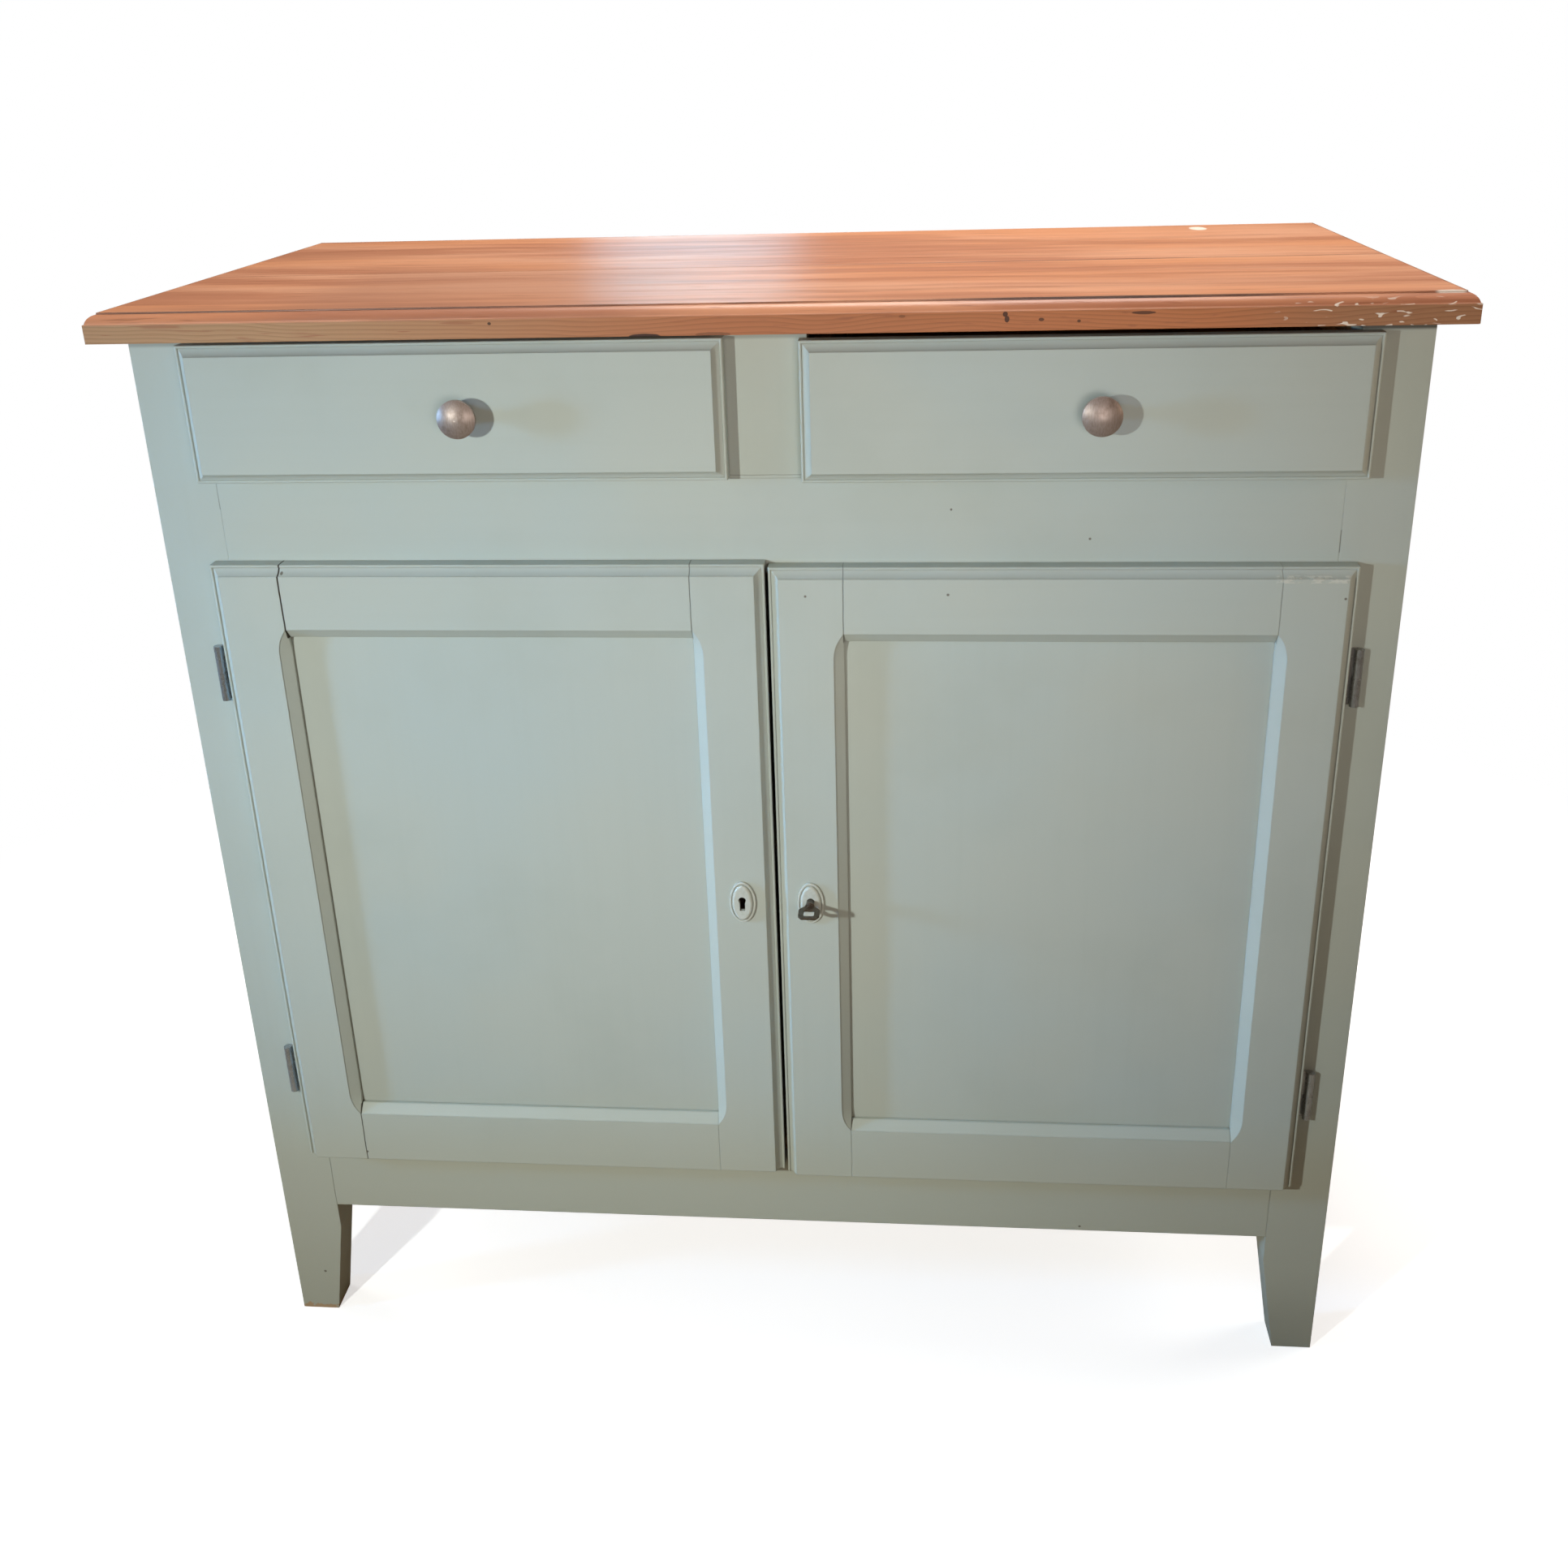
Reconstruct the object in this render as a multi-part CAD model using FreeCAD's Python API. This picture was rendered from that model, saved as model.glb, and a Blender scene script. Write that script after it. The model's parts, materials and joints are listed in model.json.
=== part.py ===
import FreeCAD
import Part
import os

# A painted buffet cabinet: two lipped drawers over two panelled doors, under a waxed plank top.
# Millimetres, +Z up, the front looks towards -Y.
# Every piece is laid out from the front of the face frame (y = 0, into the cabinet is positive)
# and moved on saving, so that the origin is on the floor under the middle of the overall box.

V = FreeCAD.Vector

# Overall sizes
body_width = 1100.0
body_depth = 510.0
height = 1100.0

# Plank top
top_thickness = 25.0
top_side_overhang = 25.0
top_front_overhang = 25.0
top_back_overhang = 10.0
top_moulding_width = 9.5
top_moulding_drop = 9.0
top_ledge = 1.2
top_quirk = 1.3
top_bulge = 1.3
top_joint_depth = 221.0
top_joint_skew = 8.0
top_joint_groove = 0.8

# Posts and feet
post_width = 58.0
post_depth = 36.0
foot_width = 40.0
rear_post_width = 45.0
rear_post_depth = 45.0
rear_foot_width = 32.0
leg_height = 145.0
foot_straight = 31.0

# Face frame
rail_thickness = 27.0
apron_height = 91.0
mid_rail_height = 88.0
drawer_opening_height = 124.0
muntin_width = 80.0
muntin_housing = 3.0
muntin_tenon_width = 50.0
muntin_tenon_length = 22.0
tenon_thickness = 9.0
tenon_length = 30.0
tenon_shoulder = 9.0
joint_play = 0.2

# Sides and back
side_rail_thickness = 22.0
side_rail_inset = 3.0
side_top_rail_height = 80.0
side_tenon_length = 15.0
side_panel_thickness = 10.0
panel_groove = 8.0
panel_play = 0.5
back_rail_thickness = 25.0
back_rail_tenon = 18.0
back_top_rail_height = 160.0
back_board_thickness = 8.0
back_board_count = 5
back_board_gap = 1.0
back_board_lap = 7.0
back_board_end = 20.0
back_rebate = 14.0

# Inside of the cupboard
floor_thickness = 16.0
floor_setback = 2.0
fit_gap = 0.5
shelf_thickness = 18.0
shelf_height = 288.0
shelf_setback = 70.0
cleat_height = 20.0
top_cleat_height = 25.0
top_screw_count = 3
top_screw_end = 45.0
top_screw_bite = 12.0

# Lip moulding round the drawer fronts and doors
front_clear = 0.5
front_thickness = 20.5
lip_width = 9.0
lip_drop = 6.2
lip_bead = 2.6
lip_quirk = 0.9
lip_hollow = 0.5

# Doors
door_side_lap = 14.0
door_end_lap = 11.5
door_gap = 3.0
door_shift = 1.5
meeting_shift = 0.7
right_door_drop = 3.0
hinge_stile_width = 64.5
meeting_stile_width = 66.0
door_top_rail = 69.0
door_bottom_rail = 66.0
door_tenon = 34.0
door_tenon_shoulder = 12.0
door_panel_recess = 11.0
door_panel_thickness = 8.0
bevel_width = 9.0
bevel_depth = 8.0
bevel_quirk = 0.6
bevel_runout = 36.0

# Lift-off hinges
hinge_height = 54.0
hinge_split = 0.3
hinge_low_inset = 88.0
hinge_high_inset = 97.0
hinge_offset = 10.0
knuckle_radius = 4.0
knuckle_clear = 0.4
hinge_pin_radius = 2.0
hinge_pin_length = 40.0
pin_fit = 0.02
pin_running = 0.08
leaf_thickness = 1.8
leaf_neck = 3.0
frame_leaf_width = 20.0
door_leaf_width = 30.0
hinge_screw_spread = 13.0
hinge_screw_length = 14.0
hinge_screw_radius = 1.5

# Drawers
drawer_lap = 10.5
front_height = 121.0
left_front_rise = -2.5
right_front_rise = -5.5
right_front_shift = 4.5
drawer_side_play = 1.5
drawer_lift = 0.3
drawer_side_height = 105.0
drawer_side_thickness = 12.0
drawer_back_clear = 37.0
drawer_tongue = 10.0
drawer_bottom_thickness = 6.0
drawer_bottom_rise = 6.0
drawer_bottom_groove = 5.0
drawer_back_drop = 8.0
groove_play = 0.1
runner_height = 25.0
runner_bearing = 22.0
guide_height = 34.0

# Knobs
knob_offset = 12.0
knob_radius = 16.5
knob_length = 25.5
knob_neck_radius = 5.5
knob_base_radius = 9.0
knob_base_thickness = 2.0
knob_neck_start = 6.0
knob_neck_end = 10.0
knob_neck_hollow = 0.6
knob_rim_start = 17.5
knob_rim_end = 20.8
knob_cheek = 3.0
knob_screw_radius = 2.0
knob_screw_bite = 15.0
knob_screw_head_radius = 4.5
knob_screw_head = 2.5
screw_play = 0.1

# Keyholes, lock and key
lock_rise = 308.0
lock_backset = 31.0
oval_width = 25.4
oval_height = 43.0
oval_thickness = 2.5
oval_soften = 0.9
oval_band = 2.0
oval_groove_width = 0.8
oval_groove_depth = 1.0
oval_boss = 2.8
oval_crown = 2.6
keyhole_rise = 3.0
keyhole_slot_length = 11.0
dummy_keyhole_depth = 12.0
key_radius = 3.0
key_play = 0.6
key_neck_radius = 4.6
key_neck_gap = 0.6
bit_play = 1.2
key_reach = 36.0
bow_width = 19.8
bow_length = 22.0
bow_end_width = 13.5
bow_shoulder = 6.0
bow_corner = 4.5
bow_thickness = 1.9
bow_soften = 1.8
bow_hole_width = 10.0
bow_hole_length = 11.0
bow_hole_inset = 4.2
bit_thickness = 2.6
bit_start = 3.0
bit_end = 8.0
lock_edge = 1.0
lock_width = 46.0
lock_below = 26.0
lock_above = 30.0
lock_depth = 12.0
lock_wall = 1.5
lock_ear = 10.0
lock_screw_radius = 1.2
lock_screw_length = 10.0
bolt_rise = 14.0
bolt_height = 10.0
bolt_thickness = 5.0
bolt_inset = 3.5
bolt_length = 36.0
bolt_throw = 14.0
bolt_play = 0.25
keeper_spare = 3.0
keeper_wall = 4.0
keeper_ear = 12.0
keeper_gap = 1.0
keeper_play = 0.6

# Sliding bolt inside the left door
slide_backset = 30.0
slide_bolt_width = 10.0
slide_bolt_thickness = 5.0
slide_bolt_length = 70.0
slide_bolt_throw = 12.0
slide_bolt_gap = 2.0
slide_bolt_lift = 3.0
slide_mortise_play = 1.5
slide_plate_width = 26.0
slide_plate_length = 70.0
slide_plate_thickness = 2.0
slide_plate_drop = 5.0
slide_staple = 8.0
slide_staple_wall = 2.0
slide_staple_high = 10.0
slide_staple_low = 54.0
slide_grip_radius = 3.5
slide_grip_length = 6.0
slide_grip_drop = 36.0
slide_screw_drops = (23.0, 68.0)
slide_screw_inset = 4.0

# Cutting tools reach this far past the surface that they start from
overcut = 1.0

# Levels and planes that follow from the sizes above
half = body_width / 2
under_top = height - top_thickness
post_inner = half - post_width
rear_inner = half - rear_post_width
rear_front = body_depth - rear_post_depth
apron_top = leg_height + apron_height
mid_top = under_top - drawer_opening_height
mid_bottom = mid_top - mid_rail_height
side_outer = half - side_rail_inset
side_inner = side_outer - side_rail_thickness
side_middle = (side_outer + side_inner) / 2
panel_inner = side_middle - side_panel_thickness / 2
side_top_bottom = under_top - side_top_rail_height
back_plane = body_depth - back_board_thickness
drawer_depth = back_plane - back_rail_thickness - drawer_back_clear
front_face = -front_clear - front_thickness
shelf_bottom = apron_top + floor_thickness + shelf_height
lock_height = apron_top + lock_rise
hinge_axis_y = -knuckle_clear - knuckle_radius
panel_face = front_face + door_panel_recess
door_groove = (panel_face, panel_face + door_panel_thickness)
front_reach = front_thickness + front_clear + max(key_reach, knob_length)
face_y = (front_reach - body_depth - top_back_overhang) / 2

parts = {}
screws = {}


def span(a, b):
    """The two values in rising order."""
    return (min(a, b), max(a, b))


def block(x, y, z):
    """A box from three ranges."""
    return Part.makeBox(x[1] - x[0], y[1] - y[0], z[1] - z[0], V(x[0], y[0], z[0]))


def grown(ranges, play):
    """The same ranges, larger by the play on every side."""
    return [(low - play, high + play) for low, high in ranges]


def rod(radius, start, end):
    """A round bar between two points."""
    along = end - start
    return Part.makeCylinder(radius, along.Length, start, along)


def prism(points, along):
    """A flat outline of points, carried along a vector."""
    return Part.Face(Part.makePolygon(points + points[:1])).extrude(along)


def line(a, b):
    return Part.LineSegment(a, b).toShape()


def arc(a, b, c):
    return Part.Arc(a, b, c).toShape()


def add(name, *solids):
    """Keep a named piece; several solids make one group of like pieces."""
    parts[name] = solids[0] if len(solids) == 1 else Part.makeCompound(list(solids))


def cut(name, *tools):
    parts[name] = parts[name].cut(list(tools))


def countersunk(head, along, length, radius, play=0.0):
    """A screw with a cone head as deep as its shank is thick, head end first."""
    cone = Part.makeCone(2 * radius + play, radius + play, radius, head, along)
    return cone.fuse(Part.makeCylinder(radius + play, length + play, head, along))


def drive(group, targets, head, along, length, radius):
    """Put a screw in its group and bore its hole through the pieces that it holds."""
    screws.setdefault(group, []).append(countersunk(head, along, length, radius))
    hole = countersunk(head, along, length, radius, screw_play)
    for name in targets:
        cut(name, hole)


def moulded_slab(u, v, depth, width, profile, sides, place):
    """A slab whose named sides carry a mitred moulding.

    u and v are its plan ranges, place(u, v, w) gives the point w below the face, and
    profile(at) gives the moulding's section as edges, at(d, w) being d in from the edge.
    """
    inner_u = (u[0] + width * ("u0" in sides), u[1] - width * ("u1" in sides))
    inner_v = (v[0] + width * ("v0" in sides), v[1] - width * ("v1" in sides))
    through = place(0, 0, depth) - place(0, 0, 0)

    def plan(corners):
        return prism([place(a, b, 0) for a, b in corners], through)

    core = plan([(inner_u[0], inner_v[0]), (inner_u[1], inner_v[0]),
                 (inner_u[1], inner_v[1]), (inner_u[0], inner_v[1])])
    runs = []
    for side in sides:
        end = int(side[1])
        inward = 1 - 2 * end
        if side[0] == "u":
            section = profile(lambda d, w: place(u[end] + inward * d, v[0], w))
            along = place(0, v[1], 0) - place(0, v[0], 0)
            mitre = [(u[end], v[0]), (u[end], v[1]), (inner_u[end], inner_v[1]), (inner_u[end], inner_v[0])]
        else:
            section = profile(lambda d, w: place(u[0], v[end] + inward * d, w))
            along = place(u[1], 0, 0) - place(u[0], 0, 0)
            mitre = [(u[0], v[end]), (u[1], v[end]), (inner_u[1], inner_v[end]), (inner_u[0], inner_v[end])]
        run = Part.Face(Part.Wire(section)).extrude(along)
        runs.append(run.common(plan(mitre)))
    return core.fuse(runs).removeSplitter()


def lip_profile(at):
    """Section of the lip: an edge bead, then a hollow rising to just below the flat face."""
    low = lip_drop + lip_bead / 2
    middle = ((lip_bead + lip_width) / 2 + lip_hollow, (low + lip_quirk) / 2 + lip_hollow)
    return [line(at(0, front_thickness), at(0, low)),
            arc(at(0, low), at(lip_bead / 2, lip_drop), at(lip_bead, low)),
            arc(at(lip_bead, low), at(*middle), at(lip_width, lip_quirk)),
            line(at(lip_width, lip_quirk), at(lip_width, front_thickness)),
            line(at(lip_width, front_thickness), at(0, front_thickness))]


def top_profile(at):
    """Section of the top's edge: square band, ledge, then an ovolo rising to just below the flat."""
    middle = ((top_ledge + top_moulding_width) / 2 - top_bulge,
              (top_moulding_drop + top_quirk) / 2 - top_bulge)
    return [line(at(0, top_thickness), at(0, top_moulding_drop)),
            line(at(0, top_moulding_drop), at(top_ledge, top_moulding_drop)),
            arc(at(top_ledge, top_moulding_drop), at(*middle), at(top_moulding_width, top_quirk)),
            line(at(top_moulding_width, top_quirk), at(top_moulding_width, top_thickness)),
            line(at(top_moulding_width, top_thickness), at(0, top_thickness))]


def on_front(u, v, w):
    return V(u, front_face + w, v)


def on_top(u, v, w):
    return V(u, v, height - w)


def tenoned(name, x, y, z, tenons):
    """A rail with its tenons."""
    add(name, block(x, y, z).fuse([block(*tenon) for tenon in tenons]).removeSplitter())


hands = ((-1, "left"), (1, "right"))

# Posts: the inner side tapers below the apron to a narrow foot
for hand, side in hands:
    for name, inner, foot, y in (("front_post_", post_inner, foot_width, (0, post_depth)),
                                 ("rear_post_", rear_inner, rear_foot_width, (rear_front, body_depth))):
        outline = [(half, 0), (half - foot, 0), (inner, leg_height - foot_straight), (inner, under_top),
                   (half, under_top)]
        add(name + side, prism([V(hand * x, y[0], z) for x, z in outline], V(0, y[1] - y[0], 0)))

# Apron and middle rail, tenoned into the front posts
rail_y = (0, rail_thickness)
tenon_y = ((rail_thickness - tenon_thickness) / 2, (rail_thickness + tenon_thickness) / 2)
for name, z in (("apron", (leg_height, apron_top)), ("mid_rail", (mid_bottom, mid_top))):
    tenons = []
    for hand, side in hands:
        tenon = (span(hand * post_inner, hand * (post_inner + tenon_length)), tenon_y,
                 (z[0] + tenon_shoulder, z[1] - tenon_shoulder))
        cut("front_post_" + side, block(*grown(tenon, joint_play)))
        tenons.append(tenon)
    tenoned(name, (-post_inner, post_inner), rail_y, z, tenons)

# Short post between the drawers, housed in the middle rail
muntin_x = (-muntin_width / 2, muntin_width / 2)
muntin_foot = mid_top - muntin_housing
muntin_tenon = ((-muntin_tenon_width / 2, muntin_tenon_width / 2), tenon_y,
                (muntin_foot - muntin_tenon_length, muntin_foot))
tenoned("drawer_muntin", muntin_x, rail_y, (muntin_foot, under_top), [muntin_tenon])
cut("mid_rail",
    block(*grown(muntin_tenon, joint_play)),
    block((muntin_x[0] - joint_play, muntin_x[1] + joint_play), (-overcut, rail_thickness + overcut),
          (muntin_foot, mid_top + overcut)))

# Sides: two rails tenoned into the posts, and a panel in grooves
for hand, side in hands:
    side_posts = ("front_post_" + side, "rear_post_" + side)
    side_rails = ("side_top_rail_" + side, "side_bottom_rail_" + side)
    tenon_x = span(hand * (side_middle - tenon_thickness / 2), hand * (side_middle + tenon_thickness / 2))
    for name, z in zip(side_rails, ((side_top_bottom, under_top), (leg_height, apron_top))):
        tenon_z = (z[0] + tenon_shoulder, z[1] - tenon_shoulder)
        tenons = [(tenon_x, (post_depth - side_tenon_length, post_depth), tenon_z),
                  (tenon_x, (rear_front, rear_front + side_tenon_length), tenon_z)]
        for post, tenon in zip(side_posts, tenons):
            cut(post, block(*grown(tenon, joint_play)))
        tenoned(name, span(hand * side_inner, hand * side_outer), (post_depth, rear_front), z, tenons)
    panel_x = span(hand * panel_inner, hand * (panel_inner + side_panel_thickness))
    panel_y = (post_depth - panel_groove, rear_front + panel_groove)
    panel_z = (apron_top - panel_groove, side_top_bottom + panel_groove)
    groove = block(*grown((panel_x, panel_y, panel_z), groove_play))
    for name in side_posts + side_rails:
        cut(name, groove)
    panel_edges = grown((panel_y, panel_z), -panel_play)
    add("side_panel_" + side, block(panel_x, panel_edges[0], panel_edges[1]))

# Back rails tenoned into the rear posts, and back boards in their rebates
back_rail_y = (back_plane - back_rail_thickness, back_plane)
back_tenon_y = (sum(back_rail_y) / 2 - tenon_thickness / 2, sum(back_rail_y) / 2 + tenon_thickness / 2)
for name, z in (("back_top_rail", (under_top - back_top_rail_height, under_top)),
                ("back_bottom_rail", (leg_height, apron_top))):
    tenons = []
    for hand, side in hands:
        tenon = (span(hand * rear_inner, hand * (rear_inner + back_rail_tenon)), back_tenon_y,
                 (z[0] + tenon_shoulder, z[1] - tenon_shoulder))
        cut("rear_post_" + side, block(*grown(tenon, joint_play)))
        tenons.append(tenon)
    tenoned(name, (-rear_inner, rear_inner), back_rail_y, z, tenons)
back_z = (leg_height + back_board_end, under_top - back_board_end)
for hand, side in hands:
    cut("rear_post_" + side,
        block(span(hand * (rear_inner - overcut), hand * (rear_inner + back_rebate)),
              (back_plane, body_depth + overcut), (back_z[0] - fit_gap, back_z[1] + fit_gap)))
back_half = rear_inner + back_rebate - fit_gap
board_pitch = (2 * back_half + back_board_gap) / back_board_count
lap_y = (back_plane, back_plane + back_board_thickness / 2)
back_boards = []
for i in range(back_board_count):
    left = i * board_pitch - back_half
    right = left + board_pitch - back_board_gap
    board = block((left, right), (back_plane, body_depth), back_z)
    if i > 0:
        board = board.cut(block((left - overcut, left + back_board_lap),
                                (lap_y[0] - overcut, lap_y[1] + joint_play),
                                (back_z[0] - overcut, back_z[1] + overcut)))
    if i < back_board_count - 1:
        board = board.fuse(block((right, right + back_board_lap), lap_y, back_z)).removeSplitter()
    back_boards.append(board)
add("back_boards", *back_boards)

# Cupboard floor lying on the lower rails, notched round the posts
board_x = (fit_gap - panel_inner, panel_inner - fit_gap)
floor_z = (apron_top, apron_top + floor_thickness)
add("cupboard_floor", block(board_x, (floor_setback, back_plane - fit_gap), floor_z))
for hand, side in hands:
    cut("cupboard_floor",
        block(span(hand * (post_inner - fit_gap), hand * half),
              (-overcut, post_depth + fit_gap), floor_z),
        block(span(hand * (rear_inner - fit_gap), hand * half),
              (rear_front - fit_gap, body_depth), floor_z))

# Shelf on its two cleats
inside_y = (post_depth, rear_front)
shelf_cleat_z = (shelf_bottom - cleat_height, shelf_bottom)
add("shelf",
    block(board_x, (shelf_setback, rear_front - fit_gap), (shelf_bottom, shelf_bottom + shelf_thickness)))
add("shelf_cleats",
    *[block(span(hand * rear_inner, hand * panel_inner), inside_y, shelf_cleat_z) for hand, side in hands])

# Drawer runners, each with a guide on it
runner_z = (mid_top - runner_height, mid_top)
guide_z = (mid_top, mid_top + guide_height)
middle_y = (rail_thickness, back_plane - back_rail_thickness)
middle_half = muntin_width / 2 + runner_bearing
runners = [block((-middle_half, middle_half), middle_y, runner_z), block(muntin_x, middle_y, guide_z)]
for hand, side in hands:
    bearing_x = span(hand * (post_inner - runner_bearing), hand * panel_inner)
    runners.append(block(bearing_x, inside_y, runner_z))
    runners.append(block(span(hand * post_inner, hand * panel_inner), inside_y, guide_z))
add("drawer_runners", *runners)

# Plank top in two boards with a skewed joint between them
top_x = (-half - top_side_overhang, half + top_side_overhang)
top_y = (-top_front_overhang, body_depth + top_back_overhang)
top = moulded_slab(top_x, top_y, top_thickness, top_moulding_width, top_profile, ("u0", "u1", "v0"), on_top)
joint_left = V(top_x[0] - overcut, top_joint_depth - top_joint_skew, 0)
joint_right = V(top_x[1] + overcut, top_joint_depth + top_joint_skew, 0)
front_plan = [joint_left, joint_right,
              V(joint_right.x, top_y[0] - overcut, 0), V(joint_left.x, top_y[0] - overcut, 0)]
front_half = prism(front_plan, V(0, 0, height + overcut))
eased = prism([joint_left + V(0, offset, height - drop)
               for offset, drop in ((-top_joint_groove, 0), (0, top_joint_groove), (top_joint_groove, 0))],
              joint_right - joint_left)
add("top_board_front", top.common(front_half).cut(eased))
add("top_board_back", top.cut(front_half).cut(eased))

# Cleats under the top, and the screws through them
cleat_z = (under_top - top_cleat_height, under_top)
add("top_cleats",
    *[block(span(hand * post_inner, hand * side_inner), inside_y, cleat_z) for hand, side in hands])
screw_pitch = (rear_front - post_depth - 2 * top_screw_end) / (top_screw_count - 1)
for hand, side in hands:
    for i in range(top_screw_count):
        head = V(hand * (post_inner + side_inner) / 2,
                 post_depth + top_screw_end + i * screw_pitch, cleat_z[0])
        drive("carcass_screws", ("top_cleats", "top_board_front", "top_board_back"), head, V(0, 0, 1),
              top_cleat_height + top_screw_bite, hinge_screw_radius)


def bevel_outline(edge, out):
    """Section of an inner-edge bevel as (across, y), out pointing from the wood to the opening."""
    return [(edge - out * bevel_width, front_face - overcut),
            (edge - out * bevel_width, front_face + bevel_quirk),
            (edge, front_face + bevel_depth),
            (edge + out * overcut, front_face + bevel_depth),
            (edge + out * overcut, front_face - overcut)]


def stopped_bevel(edge, out, low, high):
    """A bevel along a stile's inner edge that sweeps out in a curve at both ends."""
    run = (bevel_runout ** 2 - (bevel_runout - bevel_width) ** 2) ** 0.5
    ends = (low + run, high - run)
    tools = [prism([V(x, y, ends[0]) for x, y in bevel_outline(edge, out)], V(0, 0, ends[1] - ends[0]))]
    centre = edge - out * (bevel_width - bevel_runout)
    for z in ends:
        quirk = front_face + bevel_quirk
        tools.append(rod(bevel_runout, V(centre, front_face - overcut, z), V(centre, quirk, z)))
        tools.append(Part.makeCone(bevel_runout, bevel_runout - bevel_width, bevel_depth - bevel_quirk,
                                   V(centre, quirk, z), V(0, 1, 0)))
    return tools


def make_door(door, x, drop, stiles):
    """One frame-and-panel door; stiles gives its left and right stile, each a name and a width."""
    names, widths = zip(*stiles)
    y = (front_face, -front_clear)
    z = (apron_top - door_end_lap - drop, mid_bottom + door_end_lap - drop)
    slab = moulded_slab(x, z, front_thickness, lip_width, lip_profile, ("u0", "u1", "v1"), on_front)
    open_x = (x[0] + widths[0], x[1] - widths[1])
    open_z = (z[0] + door_bottom_rail, z[1] - door_top_rail)
    panel = ((open_x[0] - panel_groove, open_x[1] + panel_groove), door_groove,
             (open_z[0] - panel_groove, open_z[1] + panel_groove))
    groove = block(*grown(panel, groove_play))
    for end, stile in enumerate(names):
        out = 1 - 2 * end
        tools = stopped_bevel(open_x[end], out, open_z[0] - bevel_width, open_z[1] + bevel_width)
        add(door + stile, slab.common(block(span(x[end], open_x[end]), y, z)).cut(tools + [groove]))
    for end, rail in enumerate(("_bottom_rail", "_top_rail")):
        out = 1 - 2 * end
        rail_z = span(z[end], open_z[end])
        tenon_z = (rail_z[0] + door_tenon_shoulder, rail_z[1] - door_tenon_shoulder)
        tenons = []
        for stile_end, stile in enumerate(names):
            edge = open_x[stile_end]
            tenon = (span(edge, edge + (2 * stile_end - 1) * door_tenon), door_groove, tenon_z)
            cut(door + stile, block(*grown(tenon, joint_play)))
            tenons.append(block(*tenon))
        bevel = prism([V(open_x[0], across, level) for level, across in bevel_outline(open_z[end], out)],
                      V(open_x[1] - open_x[0], 0, 0))
        piece = slab.common(block(open_x, y, rail_z)).cut([bevel, groove])
        add(door + rail, piece.fuse(tenons).removeSplitter())
    panel_x, panel_z = grown((panel[0], panel[2]), -panel_play)
    add(door + "_panel", block(panel_x, door_groove, panel_z))


left_x = (door_shift - post_inner - door_side_lap, meeting_shift - door_gap / 2)
right_x = (meeting_shift + door_gap / 2, door_shift + post_inner + door_side_lap)
hinge_stile = ("_hinge_stile", hinge_stile_width)
meeting_stile = ("_meeting_stile", meeting_stile_width)
make_door("left_door", left_x, 0.0, (hinge_stile, meeting_stile))
make_door("right_door", right_x, right_door_drop, (meeting_stile, hinge_stile))

# Lift-off hinges: the lower half with the pin on the post, the upper half on the door
frame_leaves = []
hinge_pins = []
for hand, side in hands:
    axis_x = left_x[0] - hinge_offset if hand < 0 else right_x[1] + hinge_offset
    door_leaves = []
    for middle in (apron_top + hinge_low_inset, mid_bottom - hinge_high_inset):
        low = (middle - hinge_height / 2, middle - hinge_split / 2)
        high = (middle + hinge_split / 2, middle + hinge_height / 2)
        pin = [V(axis_x, hinge_axis_y, middle + end * hinge_pin_length / 2) for end in (-1, 1)]
        hinge_pins.append(rod(hinge_pin_radius, *pin))
        door_plate_y = (-front_clear - leaf_thickness, -front_clear)
        plates = ((span(axis_x, axis_x - hand * frame_leaf_width), (0, leaf_thickness), low),
                  (span(axis_x, axis_x - hand * door_leaf_width), door_plate_y, high))
        neck = (span(axis_x, axis_x - hand * leaf_neck), (hinge_axis_y, leaf_thickness), low)
        barrels = [rod(knuckle_radius, V(axis_x, hinge_axis_y, z[0]), V(axis_x, hinge_axis_y, z[1]))
                   for z in (low, high)]
        frame_leaves.append(barrels[0].fuse([block(*plates[0]), block(*neck)])
                            .cut(rod(hinge_pin_radius + pin_fit, *pin)))
        door_leaves.append(barrels[1].fuse(block(*plates[1]))
                           .cut(rod(hinge_pin_radius + pin_running, *pin)))
        cut("front_post_" + side, block(*grown(plates[0], joint_play)), block(*grown(neck, joint_play)))
        cut(side + "_door_hinge_stile", block(*grown(plates[1], joint_play)))
    add(side + "_door_hinge_leaves", *door_leaves)
add("frame_hinge_leaves", *frame_leaves)
add("hinge_pins", *hinge_pins)
for hand, side in hands:
    edge_x = left_x[0] if hand < 0 else right_x[1]
    for middle in (apron_top + hinge_low_inset, mid_bottom - hinge_high_inset):
        for spread in (-0.5, 0.5):
            rise = hinge_height / 4 + spread * hinge_screw_spread
            drive("carcass_screws", ("frame_hinge_leaves", "front_post_" + side),
                  V(edge_x + hand * (hinge_offset - frame_leaf_width / 2), 0, middle - rise), V(0, 1, 0),
                  hinge_screw_length, hinge_screw_radius)
            drive(side + "_door_screws", (side + "_door_hinge_leaves", side + "_door_hinge_stile"),
                  V(edge_x - hand * (door_leaf_width - hinge_offset) / 2, -front_clear, middle + rise),
                  V(0, -1, 0), hinge_screw_length, hinge_screw_radius)


def keyhole(x, y, z):
    """A round hole with a slot hanging from it."""
    half_slot = bit_thickness / 2 + bit_play
    slot = block((x - half_slot, x + half_slot), y, (z - keyhole_slot_length, z))
    return rod(key_radius + key_play, V(x, y[0], z), V(x, y[1], z)).fuse(slot)


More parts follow.
